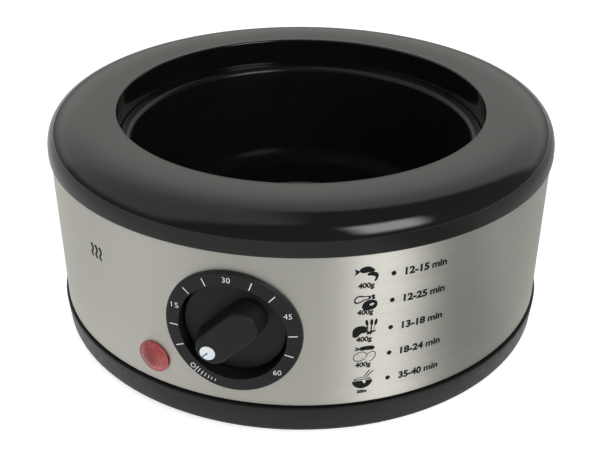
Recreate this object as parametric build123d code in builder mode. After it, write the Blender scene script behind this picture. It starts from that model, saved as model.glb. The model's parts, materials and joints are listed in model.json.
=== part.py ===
from build123d import *

import os
from math import acos, cos, pi, radians, sin, tan

# Base unit of a round electric food steamer, in millimetres.
# +Z is up, the floor is Z = 0, the axis of the round housing is the Z axis, and the front
# faces -Y. An azimuth is counted from the front (-Y) towards +X.

# ---- housing -------------------------------------------------------------------------
BAND_R = 120.0  # outside of the steel band, which sets the size of everything else
BAND_T = 0.8
BAND_LOW = 17.6
BAND_TOP = 90.3
FIT = 0.3  # gap between nested curved walls

FOOT_H = 3.0
FOOT_R = 7.0
FOOT_CIRCLE_R = 98.0

PAN_WALL = 2.5
PAN_LOW_R = BAND_R + 0.2
PAN_HIGH_R = BAND_R + 1.2
PAN_TOP = 16.4
PAN_CORNER = 2.6
PAN_LIP_TOP = 21.0
LIP_R = BAND_R - BAND_T - FIT  # outside of the lips that centre the steel band
LIP_T = 2.3

RIM_R = BAND_R + 1.0
RIM_BULGE_Z = BAND_TOP + 2.0
RIM_TOP = 107.0
RIM_FLAT_R = 104.5
RIM_WALL = 2.4
RIM_SKIRT_LOW = 80.0
RIM_FULLNESS = 0.67  # how far the shoulder's curve bulges: 0.55 would be an ellipse
RIM_DISH = 0.8  # the top falls this much from its flat ring to the opening
OPENING_R = 88.0
OPENING_EDGE = 0.9

# ---- water tank ----------------------------------------------------------------------
LEDGE_Z = 92.2
LEDGE_IN_R = 82.2
LEDGE_ROUND = 3.0
GROOVE_IN_R = OPENING_R - 0.4  # a fine groove under the rim's inner wall, round the ledge
GROOVE_W = 1.4
GROOVE_DEPTH = 0.6
FLANGE_R = 113.0
FLANGE_T = 2.5
TANK_WALL = 2.2
TANK_FLOOR_Z = 38.0
TANK_FLOOR_R = 75.5
TANK_CORNER = 12.0
POST_CIRCLE_R = 100.0
POST_R = 5.0
POST_LOW = 11.5
PILLAR_SPIGOT_R = 2.4
RIM_BOSS_CIRCLE_R = 103.0
RIM_BOSS_R = 4.0

# ---- timer dial ----------------------------------------------------------------------
DIAL_AZ = -13.3
DIAL_Z = 53.5
BEZEL_R = 29.0
BEZEL_PROUD = 2.0
BEZEL_EDGE = 1.0
BEZEL_GAP = 0.05
BAND_DIAL_HOLE_R = 25.0
WELL_R = 22.9
WELL_WALL = 1.6
WELL_FLOOR = 108.0  # distances along the dial's own axis are counted from the Z axis
WELL_FLOOR_T = 2.5
DISC_R = 21.9
DISC_BACK = 110.5
DISC_FRONT = 116.0
GRIP_FRONT = 124.8
GRIP_BASE = (-17.0, 19.6, 8.3)  # tail end, pointer end, half-width
GRIP_TOP = (-13.5, 17.5, 7.1)
POINTER_AZ = -135.0  # the pointer's rest direction, clockwise from the top of the dial
POINTER_U = 13.2
POINTER_R = 3.3
POINTER_T = 0.8
SHAFT_R = 3.0
SHAFT_BACK = 92.8
SHAFT_FRONT = 121.0
RUN = 0.05  # radial running clearance

# ---- timer movement ------------------------------------------------------------------
CASE_HALF_W = 20.0
CASE_UP = 18.0
CASE_DOWN = 26.0
CASE_BACK = 91.5
CASE_T = 1.0
CASE_FRONT = WELL_FLOOR - WELL_FLOOR_T
GEAR_MODULE = 0.5
GEAR_TEETH = 48
PINION_TEETH = 16
GEAR_BACKLASH = 0.16
GEAR_LOW = 101.0
GEAR_T = 1.5
ARBOR_R = 0.9
ARBOR_DROP = GEAR_MODULE * (GEAR_TEETH + PINION_TEETH) / 2
GOVERNOR_R = 8.5
GOVERNOR_LOW = 98.8
HUB_R = 4.2
SPRING_BACK = 94.0
SPRING_W = 4.0
SPRING_TURNS = 4
SPRING_IN_R = 4.0
SPRING_OUT_R = 11.5
SPRING_HALF_T = 0.2
BLADE_BACK = 97.2
BLADE_T = 0.8
BLADE_W = 6.3
BLADE_HEIGHTS = (9.0, -3.0)
TIMER_SCREW_X = 14.0

# ---- indicator lamp ------------------------------------------------------------------
LAMP_AZ = -31.3
LAMP_Z = 30.3
LAMP_FLANGE_R = 7.6
LAMP_BODY_R = 5.7
LAMP_CLIP_R = 8.4
LAMP_CLIP_FRONT = 118.2
LAMP_BACK = 106.0
BULB_BACK = 104.0
BULB_R = 2.6
BULB_L = 13.5

# ---- heater --------------------------------------------------------------------------
HEATER_HOLE_R = 33.0
HEATER_R = 42.0
GASKET_T = 0.8
STUD_CIRCLE_R = 38.5
STUD_R = 2.0
ELEMENT_LOOP_R = 24.0
ELEMENT_R = 3.2
ELEMENT_GAP_DEG = 50.0

# ---- cord gland ----------------------------------------------------------------------
GLAND_Z = 32.0
GLAND_BORE_R = 3.5
GLAND_BODY_R = 7.7
GLAND_REACH = 125.6
GLAND_GRIP = 4.6  # length of the tight part of the bore, outside the band

PARTS = {}


def keep(name, builder):
    """Names a finished piece, so that it is written under that name."""
    builder.part.label = name
    PARTS[name] = builder.part


def facing(azimuth, distance, height):
    """A plane that looks outward at an azimuth: local x is the viewer's right, y is up."""
    a = radians(azimuth)
    return Plane(
        origin=(distance * sin(a), -distance * cos(a), height),
        x_dir=(cos(a), sin(a), 0),
        z_dir=(sin(a), -cos(a), 0),
    )


def dial_plane(distance):
    return facing(DIAL_AZ, distance, DIAL_Z)


DIAL_AXIS = Axis((0, 0, DIAL_Z), dial_plane(0).z_dir)


def corner_spots(radius, count=4, start=45.0):
    """Points evenly spaced on a circle round the Z axis."""
    turn = [radians(start + 360.0 * i / count) for i in range(count)]
    return [(radius * cos(t), radius * sin(t)) for t in turn]


# ---- rim -----------------------------------------------------------------------------
mouth_z = RIM_TOP - RIM_DISH
boss_top = RIM_TOP - RIM_WALL + 0.5


def shoulder(inset):
    """The rim's rounded shoulder as a Bezier curve's points, set in by a wall's thickness."""
    out_r = RIM_R - inset
    high = RIM_TOP - inset
    return [
        (out_r, RIM_BULGE_Z),
        (out_r, RIM_BULGE_Z + RIM_FULLNESS * (high - RIM_BULGE_Z)),
        (RIM_FLAT_R + RIM_FULLNESS * (out_r - RIM_FLAT_R), high),
        (RIM_FLAT_R, high),
    ]


with BuildPart() as rim_ring:
    with BuildSketch(Plane.XZ) as rim_profile:
        with BuildLine():
            skirt = Polyline(
                (LIP_R - LIP_T, RIM_SKIRT_LOW),
                (LIP_R, RIM_SKIRT_LOW),
                (LIP_R, BAND_TOP),
                (BAND_R, BAND_TOP),
            )
            tuck = ThreePointArc(skirt @ 1, (RIM_R - 0.3, BAND_TOP + 0.75), (RIM_R, RIM_BULGE_Z))
            crown = Bezier(*shoulder(0))
            top = TangentArc(crown @ 1, (OPENING_R + OPENING_EDGE, mouth_z), tangent=(-1, 0))
            edge = RadiusArc(top @ 1, (OPENING_R, mouth_z - OPENING_EDGE), -OPENING_EDGE)
            inside = Polyline(
                edge @ 1,
                (OPENING_R, LEDGE_Z),
                (OPENING_R + RIM_WALL, LEDGE_Z),
                (OPENING_R + RIM_WALL, mouth_z - RIM_WALL),
                (RIM_FLAT_R, RIM_TOP - RIM_WALL),
            )
            under = Bezier(*reversed(shoulder(RIM_WALL)))
            Polyline(under @ 1, (LIP_R - LIP_T, BAND_TOP), skirt @ 0)
        make_face()
    revolve(axis=Axis.Z)
    with BuildSketch(Plane.XY.offset(LEDGE_Z)):
        with Locations(*corner_spots(RIM_BOSS_CIRCLE_R, start=0.0)):
            Circle(RIM_BOSS_R)
    extrude(amount=boss_top - LEDGE_Z)
    with BuildSketch(Plane.XY.offset(LEDGE_Z)):
        with Locations(*corner_spots(RIM_BOSS_CIRCLE_R, start=0.0)):
            Circle(1.55)
    extrude(amount=10.0, mode=Mode.SUBTRACT)
keep("rim_ring", rim_ring)

# ---- water tank ----------------------------------------------------------------------
flange_low = LEDGE_Z - FLANGE_T
tank_under = TANK_FLOOR_Z - FLANGE_T

with BuildPart() as water_tank:
    with BuildSketch(Plane.XZ) as tank_profile:
        with BuildLine():
            Polyline(
                (HEATER_HOLE_R, TANK_FLOOR_Z),
                (TANK_FLOOR_R, TANK_FLOOR_Z),
                (LEDGE_IN_R, LEDGE_Z),
                (GROOVE_IN_R, LEDGE_Z),
                (GROOVE_IN_R, LEDGE_Z - GROOVE_DEPTH),
                (GROOVE_IN_R + GROOVE_W, LEDGE_Z - GROOVE_DEPTH),
                (GROOVE_IN_R + GROOVE_W, LEDGE_Z),
                (FLANGE_R, LEDGE_Z),
                (FLANGE_R, flange_low),
                (LEDGE_IN_R + TANK_WALL, flange_low),
                (TANK_FLOOR_R + TANK_WALL, tank_under),
                (HEATER_HOLE_R, tank_under),
                close=True,
            )
        make_face()
        corners = tank_profile.vertices()
        fillet(corners.sort_by_distance((LEDGE_IN_R, LEDGE_Z))[0], radius=LEDGE_ROUND)
        corners = tank_profile.vertices()
        fillet(corners.sort_by_distance((TANK_FLOOR_R, TANK_FLOOR_Z))[0], radius=TANK_CORNER)
        corners = tank_profile.vertices()
        fillet(corners.sort_by_distance((TANK_FLOOR_R + TANK_WALL, tank_under))[0], radius=TANK_CORNER)
    revolve(axis=Axis.Z)
    with BuildSketch(Plane.XY.offset(flange_low)):
        with Locations(*corner_spots(RIM_BOSS_CIRCLE_R, start=0.0)):
            Circle(1.7)
        with Locations(*corner_spots(POST_CIRCLE_R)):
            Circle(PILLAR_SPIGOT_R + 0.1)
    extrude(amount=FLANGE_T, mode=Mode.SUBTRACT)
    with BuildSketch(Plane.XY.offset(tank_under)):
        with Locations(*corner_spots(STUD_CIRCLE_R, 3, 90.0)):
            Circle(STUD_R + 0.3)
    extrude(amount=FLANGE_T, mode=Mode.SUBTRACT)
keep("water_tank", water_tank)

with BuildPart() as body_pillars:
    # Four columns that carry the tank's flange on the pan and take the screws from below.
    with BuildSketch(Plane.XY.offset(POST_LOW)):
        with Locations(*corner_spots(POST_CIRCLE_R)):
            Circle(POST_R)
    extrude(amount=flange_low - POST_LOW)
    with BuildSketch(Plane.XY.offset(flange_low)):
        with Locations(*corner_spots(POST_CIRCLE_R)):
            Circle(PILLAR_SPIGOT_R)
    extrude(amount=FLANGE_T)
    with BuildSketch(Plane.XY.offset(POST_LOW)):
        with Locations(*corner_spots(POST_CIRCLE_R)):
            Circle(1.95)
    extrude(amount=18.0, mode=Mode.SUBTRACT)
keep("body_pillars", body_pillars)

# ---- steel band ----------------------------------------------------------------------
with BuildPart() as steel_band:
    with BuildSketch(Plane.XY.offset(BAND_LOW)):
        Circle(BAND_R)
        Circle(BAND_R - BAND_T, mode=Mode.SUBTRACT)
    extrude(amount=BAND_TOP - BAND_LOW)
    with BuildSketch(dial_plane(100)):
        Circle(BAND_DIAL_HOLE_R)
    extrude(amount=40, mode=Mode.SUBTRACT)
    with BuildSketch(facing(LAMP_AZ, 100, LAMP_Z)):
        Circle(LAMP_BODY_R + 0.2)
    extrude(amount=40, mode=Mode.SUBTRACT)
    with BuildSketch(facing(180, 100, GLAND_Z)):
        Circle(GLAND_BODY_R + 0.2)
    extrude(amount=40, mode=Mode.SUBTRACT)
    # The strip's two ends meet in a narrow butt seam at the back.
    with BuildSketch(facing(205, 110, (BAND_LOW + BAND_TOP) / 2)):
        Rectangle(0.4, BAND_TOP)
    extrude(amount=20, mode=Mode.SUBTRACT)
keep("steel_band", steel_band)

with BuildPart() as seam_strap:
    # A backing strip, spot welded behind the seam.
    with BuildSketch(facing(205, 110, (PAN_LIP_TOP + RIM_SKIRT_LOW) / 2)):
        Rectangle(14.0, RIM_SKIRT_LOW - PAN_LIP_TOP - 4.0)
    extrude(amount=20)
    with BuildSketch(Plane.XY):
        Circle(BAND_R - BAND_T - 0.02)
        Circle(BAND_R - 2 * BAND_T - 0.02, mode=Mode.SUBTRACT)
    extrude(amount=BAND_TOP, mode=Mode.INTERSECT)
keep("seam_strap", seam_strap)

# ---- base pan ------------------------------------------------------------------------
pan_floor = FOOT_H + PAN_WALL
screw_pocket = 4.5

with BuildPart() as base_pan:
    with BuildSketch(Plane.XZ) as pan_profile:
        with BuildLine():
            Polyline(
                (0, FOOT_H),
                (PAN_LOW_R, FOOT_H),
                (PAN_HIGH_R, PAN_TOP),
                (LIP_R, PAN_TOP),
                (LIP_R, PAN_LIP_TOP),
                (LIP_R - LIP_T, PAN_LIP_TOP),
                (LIP_R - LIP_T, pan_floor),
                (0, pan_floor),
                close=True,
            )
        make_face()
        corners = pan_profile.vertices()
        fillet(corners.sort_by_distance((PAN_LOW_R, FOOT_H))[0], radius=PAN_CORNER)
        corners = pan_profile.vertices()
        fillet(corners.sort_by_distance((PAN_HIGH_R, PAN_TOP))[0], radius=0.6)
    revolve(axis=Axis.Z)
    with BuildSketch(Plane.XY.offset(pan_floor)):
        with Locations(*corner_spots(POST_CIRCLE_R)):
            Circle(POST_R + 2)
    extrude(amount=POST_LOW - pan_floor)
    with BuildSketch(Plane.XY.offset(FOOT_H)):
        with Locations(*corner_spots(POST_CIRCLE_R)):
            Circle(4.3)
    extrude(amount=screw_pocket, mode=Mode.SUBTRACT)
    with BuildSketch(Plane.XY.offset(FOOT_H)):
        with Locations(*corner_spots(POST_CIRCLE_R)):
            Circle(2.1)
        with Locations(*corner_spots(FOOT_CIRCLE_R, start=0.0)):
            Circle(2.6)
    extrude(amount=POST_LOW - FOOT_H, mode=Mode.SUBTRACT)
    # Air slots under the heater.
    with BuildSketch(Plane.XY.offset(FOOT_H)):
        with PolarLocations(52.0, 24):
            SlotOverall(26.0, 3.0)
    extrude(amount=PAN_WALL, mode=Mode.SUBTRACT)
    # Two towers that carry the terminal block.
    with BuildSketch(Plane.XY.offset(pan_floor)):
        with Locations((-14.0, 82.0), (14.0, 82.0)):
            Circle(3.2)
    extrude(amount=6.0)
    with BuildSketch(Plane.XY.offset(pan_floor)):
        with Locations((-14.0, 82.0), (14.0, 82.0)):
            Circle(1.3)
    extrude(amount=6.0, mode=Mode.SUBTRACT)
keep("base_pan", base_pan)

with BuildPart() as feet:
    with BuildSketch(Plane.XY):
        with Locations(*corner_spots(FOOT_CIRCLE_R, start=0.0)):
            Circle(FOOT_R)
    extrude(amount=FOOT_H - 0.02)
    chamfer(feet.edges().filter_by(GeomType.CIRCLE).group_by(Axis.Z)[0], length=0.8)
    with BuildSketch(Plane.XY.offset(FOOT_H - 0.02)):
        with Locations(*corner_spots(FOOT_CIRCLE_R, start=0.0)):
            Circle(2.5)
    extrude(amount=PAN_WALL + 0.5)
    # The barb of each push-in stem, above the pan's floor.
    with BuildSketch(Plane.XY.offset(pan_floor + 0.1)):
        with Locations(*corner_spots(FOOT_CIRCLE_R, start=0.0)):
            Circle(3.2)
    extrude(amount=2.4, taper=25)
keep("feet", feet)


def screws(spots, head_low, head_r, head_h, shank_r, shank_top):
    """Pan-head screws driven upward, with a cross recess in each head."""
    with BuildPart() as made:
        with BuildSketch(Plane.XY.offset(head_low)):
            with Locations(*spots):
                Circle(head_r)
        extrude(amount=head_h)
        fillet(made.edges().filter_by(GeomType.CIRCLE).group_by(Axis.Z)[0], radius=head_h * 0.35)
        with BuildSketch(Plane.XY.offset(head_low + head_h)):
            with Locations(*spots):
                Circle(shank_r)
        extrude(amount=shank_top - head_low - head_h)
        with BuildSketch(Plane.XY.offset(head_low)):
            with Locations(*spots):
                Rectangle(head_r * 1.2, head_r * 0.25)
                Rectangle(head_r * 0.25, head_r * 1.2)
        extrude(amount=head_h * 0.5, mode=Mode.SUBTRACT)
    return made


pocket_top = FOOT_H + screw_pocket
base_screws = screws(corner_spots(POST_CIRCLE_R), pocket_top - 2.4, 3.8, 2.4, 1.9, 26.0)
keep("base_screws", base_screws)
rim_spots = corner_spots(RIM_BOSS_CIRCLE_R, start=0.0)
rim_screws = screws(rim_spots, flange_low - 2.0, 3.2, 2.0, 1.5, LEDGE_Z + 8.5)
keep("rim_screws", rim_screws)

# ---- timer dial ----------------------------------------------------------------------
bezel_out_r = BAND_R + BEZEL_PROUD

with BuildPart() as bezel_flange:
    with BuildSketch(dial_plane(105)):
        Circle(BEZEL_R)
        Circle(WELL_R, mode=Mode.SUBTRACT)
    extrude(amount=20)
    with BuildSketch(Plane.XY):
        Circle(bezel_out_r)
        Circle(BAND_R + BEZEL_GAP, mode=Mode.SUBTRACT)
    extrude(amount=BAND_TOP, mode=Mode.INTERSECT)
    long_edges = bezel_flange.edges().filter_by(lambda e: e.length > 2 * pi * (BEZEL_R - 3))
    fillet(long_edges.sort_by_distance((0, -200, DIAL_Z))[0], radius=BEZEL_EDGE)

with BuildPart() as dial_bezel:
    with BuildSketch(dial_plane(WELL_FLOOR - WELL_FLOOR_T)):
        Circle(WELL_R + WELL_WALL)
    extrude(amount=20)
    with BuildSketch(Plane.XY):
        Circle(bezel_out_r)
    extrude(amount=BAND_TOP, mode=Mode.INTERSECT)
    with BuildSketch(dial_plane(WELL_FLOOR)):
        Circle(WELL_R)
    extrude(amount=20, mode=Mode.SUBTRACT)
    add(bezel_flange.part)
    # Snap lugs that hold the bezel behind the band.
    with BuildSketch(dial_plane(114.5)):
        with Locations((0, 24.8), (0, -24.8)):
            Rectangle(8.0, 2.6)
    extrude(amount=4.3)
    with BuildSketch(dial_plane(WELL_FLOOR - WELL_FLOOR_T)):
        Circle(SHAFT_R + 1.2)
        with Locations((TIMER_SCREW_X, 0), (-TIMER_SCREW_X, 0)):
            Circle(1.6)
    extrude(amount=WELL_FLOOR_T, mode=Mode.SUBTRACT)
keep("dial_bezel", dial_bezel)


def grip_slot(ends):
    """The outline of the grip at one height: a round-ended bar along the pointer."""
    tail, tip, half = ends
    turn = radians(POINTER_AZ)
    middle = (tail + tip) / 2
    with Locations((middle * sin(turn), middle * cos(turn))):
        SlotOverall(tip - tail, 2 * half, rotation=90 - POINTER_AZ)


pointer_at = (POINTER_U * sin(radians(POINTER_AZ)), POINTER_U * cos(radians(POINTER_AZ)))

with BuildPart() as timer_knob:
    with BuildSketch(dial_plane(DISC_BACK)):
        Circle(DISC_R)
    extrude(amount=DISC_FRONT - DISC_BACK)
    fillet(timer_knob.edges().filter_by(GeomType.CIRCLE), radius=0.8)
    with BuildSketch(dial_plane(DISC_FRONT - 0.5)):
        grip_slot(GRIP_BASE)
    with BuildSketch(dial_plane(GRIP_FRONT)):
        grip_slot(GRIP_TOP)
    loft()
    grip_face = timer_knob.faces().sort_by(DIAL_AXIS)[-1]
    fillet(grip_face.edges(), radius=1.1)
    with BuildSketch(dial_plane(DISC_BACK)):
        Circle(SHAFT_R + 0.03)
    extrude(amount=SHAFT_FRONT - DISC_BACK + 0.2, mode=Mode.SUBTRACT)
    with BuildSketch(dial_plane(GRIP_FRONT - POINTER_T)):
        with Locations(pointer_at):
            Circle(POINTER_R + 0.05)
    extrude(amount=3, mode=Mode.SUBTRACT)
keep("timer_knob", timer_knob)

with BuildPart() as knob_pointer:
    with BuildSketch(dial_plane(GRIP_FRONT - POINTER_T)):
        with Locations(pointer_at):
            Circle(POINTER_R)
    extrude(amount=POINTER_T + 0.05)
    # A fine sight line, from the dot's centre out towards the scale.
    with BuildSketch(dial_plane(GRIP_FRONT - POINTER_T + 0.3)):
        reach = POINTER_U + 2.0
        with Locations((reach * sin(radians(POINTER_AZ)), reach * cos(radians(POINTER_AZ)))):
            Rectangle(4.0, 0.5, rotation=90 - POINTER_AZ)
    extrude(amount=3, mode=Mode.SUBTRACT)
keep("knob_pointer", knob_pointer)

with BuildPart() as timer_shaft:
    with BuildSketch(dial_plane(SHAFT_BACK)):
        Circle(SHAFT_R)
    extrude(amount=SHAFT_FRONT - SHAFT_BACK)
keep("timer_shaft", timer_shaft)

# ---- timer movement ------------------------------------------------------------------
case_mid = (CASE_UP - CASE_DOWN) / 2
case_h = CASE_UP + CASE_DOWN
ear = 4.0

with BuildPart() as timer_case:
    with BuildSketch(dial_plane(CASE_BACK)):
        with Locations((0, case_mid)):
            RectangleRounded(2 * CASE_HALF_W, case_h, 3.0)
    extrude(amount=CASE_FRONT - CASE_T - CASE_BACK)
    with BuildSketch(dial_plane(CASE_BACK + CASE_T)):
        with Locations((0, case_mid)):
            RectangleRounded(2 * (CASE_HALF_W - CASE_T), case_h - 2 * CASE_T, 2.0)
    extrude(amount=CASE_FRONT - CASE_BACK, mode=Mode.SUBTRACT)
    with BuildSketch(dial_plane(CASE_BACK)):
        with Locations((0, -ARBOR_DROP)):
            Circle(ARBOR_R + RUN)
    extrude(amount=CASE_T, mode=Mode.SUBTRACT)
    # Slots for the two switch blades in the side wall.
    with BuildSketch(dial_plane(BLADE_BACK - 0.2)):
        with Locations(*[(CASE_HALF_W, y) for y in BLADE_HEIGHTS]):
            Rectangle(4.0, BLADE_W + 0.4)
    extrude(amount=BLADE_T + 0.4, mode=Mode.SUBTRACT)
keep("timer_case", timer_case)

with BuildPart() as timer_front_plate:
    with BuildSketch(dial_plane(CASE_FRONT - CASE_T)):
        with Locations((0, case_mid)):
            RectangleRounded(2 * CASE_HALF_W, case_h, 3.0)
        Circle(SHAFT_R + RUN, mode=Mode.SUBTRACT)
        with Locations((0, -ARBOR_DROP)):
            Circle(ARBOR_R + RUN, mode=Mode.SUBTRACT)
        with Locations((TIMER_SCREW_X, 0), (-TIMER_SCREW_X, 0)):
            Circle(1.3, mode=Mode.SUBTRACT)
    extrude(amount=CASE_T)
keep("timer_front_plate", timer_front_plate)

with BuildPart() as timer_screws:
    with BuildSketch(dial_plane(CASE_FRONT - 3.0)):
        with Locations((TIMER_SCREW_X, 0), (-TIMER_SCREW_X, 0)):
            Circle(1.25)
    extrude(amount=3.0 + WELL_FLOOR_T)
    with BuildSketch(dial_plane(WELL_FLOOR)):
        with Locations((TIMER_SCREW_X, 0), (-TIMER_SCREW_X, 0)):
            Circle(2.8)
    extrude(amount=1.6)
    with BuildSketch(dial_plane(WELL_FLOOR + 0.9)):
        with Locations((TIMER_SCREW_X, 0), (-TIMER_SCREW_X, 0)):
            Rectangle(3.4, 0.7)
            Rectangle(0.7, 3.4)
    extrude(amount=1.0, mode=Mode.SUBTRACT)
keep("timer_screws", timer_screws)


def gear_points(teeth, phase, backlash):
    """The outline of an involute spur gear, one tooth after another, from its centre."""
    pressure = radians(20.0)
    pitch_r = GEAR_MODULE * teeth / 2
    base_r = pitch_r * cos(pressure)
    tip_r = pitch_r + 0.9 * GEAR_MODULE
    root_r = pitch_r - 1.25 * GEAR_MODULE
    half_at_pitch = pi / (2 * teeth) - backlash / (2 * pitch_r)
    spread = tan(pressure) - pressure

    def half_angle(radius):
        roll = acos(min(1.0, base_r / radius))
        return half_at_pitch + spread - (tan(roll) - roll)

    low_r = max(base_r, root_r) + 0.01
    flank = [low_r + (tip_r - low_r) * i / 3 for i in range(4)]
    points = []
    for tooth in range(teeth):
        middle = phase + 2 * pi * tooth / teeth
        side = [(r, middle - half_angle(r)) for r in flank]
        other = [(r, middle + half_angle(r)) for r in reversed(flank)]
        foot = [(root_r, side[0][1]), *side, *other, (root_r, other[-1][1])]
        points += [(r * cos(a), r * sin(a)) for r, a in foot]
    return points


with BuildPart() as main_gear:
    with BuildSketch(dial_plane(GEAR_LOW)):
        with BuildLine():
            Polyline(*gear_points(GEAR_TEETH, -pi / 2, GEAR_BACKLASH), close=True)
        make_face()
        with PolarLocations(8.0, 5):
            Circle(1.6, mode=Mode.SUBTRACT)
    extrude(amount=GEAR_T)
    with BuildSketch(dial_plane(GEAR_LOW - 1.0)):
        Circle(HUB_R)
    extrude(amount=GEAR_T + 1.5)
    with BuildSketch(dial_plane(GEAR_LOW - 1.0)):
        Circle(SHAFT_R + 0.01)
    extrude(amount=GEAR_T + 1.5, mode=Mode.SUBTRACT)
keep("main_gear", main_gear)

pinion_phase = pi / 2 + pi / PINION_TEETH

with BuildPart() as governor_wheel:
    with BuildSketch(dial_plane(GEAR_LOW - 0.2)) as pinion_sketch:
        with BuildLine():
            turned = gear_points(PINION_TEETH, pinion_phase, GEAR_BACKLASH)
            Polyline(*[(x, y - ARBOR_DROP) for x, y in turned], close=True)
        make_face()
    extrude(amount=GEAR_T + 0.4)
    with BuildSketch(dial_plane(GOVERNOR_LOW)):
        with Locations((0, -ARBOR_DROP)):
            Circle(GOVERNOR_R)
            with PolarLocations(5.0, 4):
                Circle(1.7, mode=Mode.SUBTRACT)
    extrude(amount=0.8)
    with BuildSketch(dial_plane(GOVERNOR_LOW)):
        with Locations((0, -ARBOR_DROP)):
            Circle(2.0)
    extrude(amount=GEAR_LOW - GOVERNOR_LOW)
    with BuildSketch(dial_plane(CASE_BACK + 0.2)):
        with Locations((0, -ARBOR_DROP)):
            Circle(ARBOR_R)
    extrude(amount=CASE_FRONT - CASE_BACK - 0.4)
keep("governor_wheel", governor_wheel)


def spring_edge(side):
    """One edge of the coiled strip, as points on a spiral."""
    steps = 18 * SPRING_TURNS
    points = []
    for i in range(steps + 1):
        r = SPRING_IN_R + (SPRING_OUT_R - SPRING_IN_R) * i / steps + side * SPRING_HALF_T
        a = 2 * pi * SPRING_TURNS * i / steps
        points.append((r * cos(a), r * sin(a)))
    return points


with BuildPart() as mainspring:
    # A flat coil of spring strip round the shaft, behind the gear.
    with BuildSketch(dial_plane(SPRING_BACK)):
        with BuildLine():
            Polyline(*spring_edge(1), *reversed(spring_edge(-1)), close=True)
        make_face()
    extrude(amount=SPRING_W)
keep("mainspring", mainspring)

with BuildPart() as timer_bell:
    # Local x is up and local y points inward, against the dial's axis.
    bell_side = Plane(origin=(0, 0, DIAL_Z), x_dir=(0, 0, 1), z_dir=-dial_plane(0).x_dir)
    with BuildSketch(bell_side) as bell_profile:
        with BuildLine():
            Polyline(
                (0, -91.4),
                (2.4, -91.4),
                (2.4, -89.0),
                (12.0, -89.0),
                (16.0, -91.0),
                (16.5, -90.4),
                (12.2, -88.2),
                (0, -88.2),
                close=True,
            )
        make_face()
    revolve(axis=DIAL_AXIS)
keep("timer_bell", timer_bell)

with BuildPart() as timer_blades:
    with BuildSketch(dial_plane(BLADE_BACK)):
        with Locations(*[(CASE_HALF_W + 2.0, y) for y in BLADE_HEIGHTS]):
            Rectangle(12.0, BLADE_W)
    extrude(amount=BLADE_T)
keep("timer_blades", timer_blades)

# ---- indicator lamp ------------------------------------------------------------------
def side_plane(azimuth, height):
    """A plane through the Z axis at an azimuth: local x is up and local y points inward."""
    return Plane(origin=(0, 0, height), x_dir=(0, 0, 1), z_dir=-facing(azimuth, 0, 0).x_dir)


def outward_axis(azimuth, height):
    return Axis((0, 0, height), facing(azimuth, 0, 0).z_dir)


lens_low = BAND_R + 0.35
lens_side = lens_low + 0.9
dome_h = 2.6
dome_r = LAMP_FLANGE_R - 0.9

with BuildPart() as lamp_lens:
    with BuildSketch(side_plane(LAMP_AZ, LAMP_Z)):
        with BuildLine():
            dome = ThreePointArc(
                (0, -lens_side - dome_h),
                (dome_r * 0.62, -lens_side - dome_h * 0.66),
                (dome_r, -lens_side),
            )
            Polyline(
                dome @ 1,
                (LAMP_FLANGE_R - 0.3, -lens_side),
                (LAMP_FLANGE_R, -lens_side + 0.3),
                (LAMP_FLANGE_R, -lens_low),
                (LAMP_BODY_R, -lens_low),
                (LAMP_BODY_R, -LAMP_BACK),
                (LAMP_BODY_R - 1.2, -LAMP_BACK),
                (LAMP_BODY_R - 1.2, -lens_low),
                (0, -lens_low - 1.6),
                dome @ 0,
            )
        make_face()
    revolve(axis=outward_axis(LAMP_AZ, LAMP_Z))
    # The moulding nick at the top of the flange.
    with BuildSketch(facing(LAMP_AZ, lens_low + 0.3, LAMP_Z)):
        with Locations((0, LAMP_FLANGE_R)):
            Rectangle(1.2, 0.9)
    extrude(amount=2.0, mode=Mode.SUBTRACT)
keep("lamp_lens", lamp_lens)

with BuildPart() as lamp_bulb:
    with BuildSketch(facing(LAMP_AZ, BULB_BACK, LAMP_Z)):
        Circle(BULB_R)
    extrude(amount=BULB_L)
    fillet(lamp_bulb.faces().sort_by(outward_axis(LAMP_AZ, LAMP_Z))[-1].edges(), radius=2.3)
keep("lamp_bulb", lamp_bulb)

with BuildPart() as lamp_clip:
    # A spring washer pushed up behind the band.
    with BuildSketch(facing(LAMP_AZ, LAMP_CLIP_FRONT - BAND_T, LAMP_Z)):
        Circle(LAMP_CLIP_R)
        Circle(LAMP_BODY_R + 0.05, mode=Mode.SUBTRACT)
        with PolarLocations(LAMP_BODY_R + 1.2, 6):
            Rectangle(1.8, 0.8, mode=Mode.SUBTRACT)
    extrude(amount=BAND_T)
keep("lamp_clip", lamp_clip)

# ---- heater --------------------------------------------------------------------------
plate_low = TANK_FLOOR_Z + GASKET_T
studs = corner_spots(STUD_CIRCLE_R, 3, 90.0)

with BuildPart() as heater_gasket:
    with BuildSketch(Plane.XY.offset(TANK_FLOOR_Z)):
        Circle(HEATER_R)
        Circle(HEATER_HOLE_R + 1.0, mode=Mode.SUBTRACT)
        with Locations(*studs):
            Circle(STUD_R + 0.1, mode=Mode.SUBTRACT)
    extrude(amount=GASKET_T)
keep("heater_gasket", heater_gasket)

with BuildPart() as heater_plate:
    with BuildSketch(Plane.XZ):
        with BuildLine():
            Polyline(
                (0, plate_low),
                (HEATER_R, plate_low),
                (HEATER_R, plate_low + 1.6),
                (31.0, plate_low + 1.6),
                (28.0, plate_low + 5.0),
                (0, plate_low + 5.6),
                close=True,
            )
        make_face()
    revolve(axis=Axis.Z)
    fillet(heater_plate.edges().filter_by(GeomType.CIRCLE).group_by(Axis.Z)[1:3], radius=0.5)
    with BuildSketch(Plane.XY.offset(plate_low)):
        with Locations(*studs):
            Circle(STUD_R)
    extrude(amount=-10.8)
keep("heater_plate", heater_plate)

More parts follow.
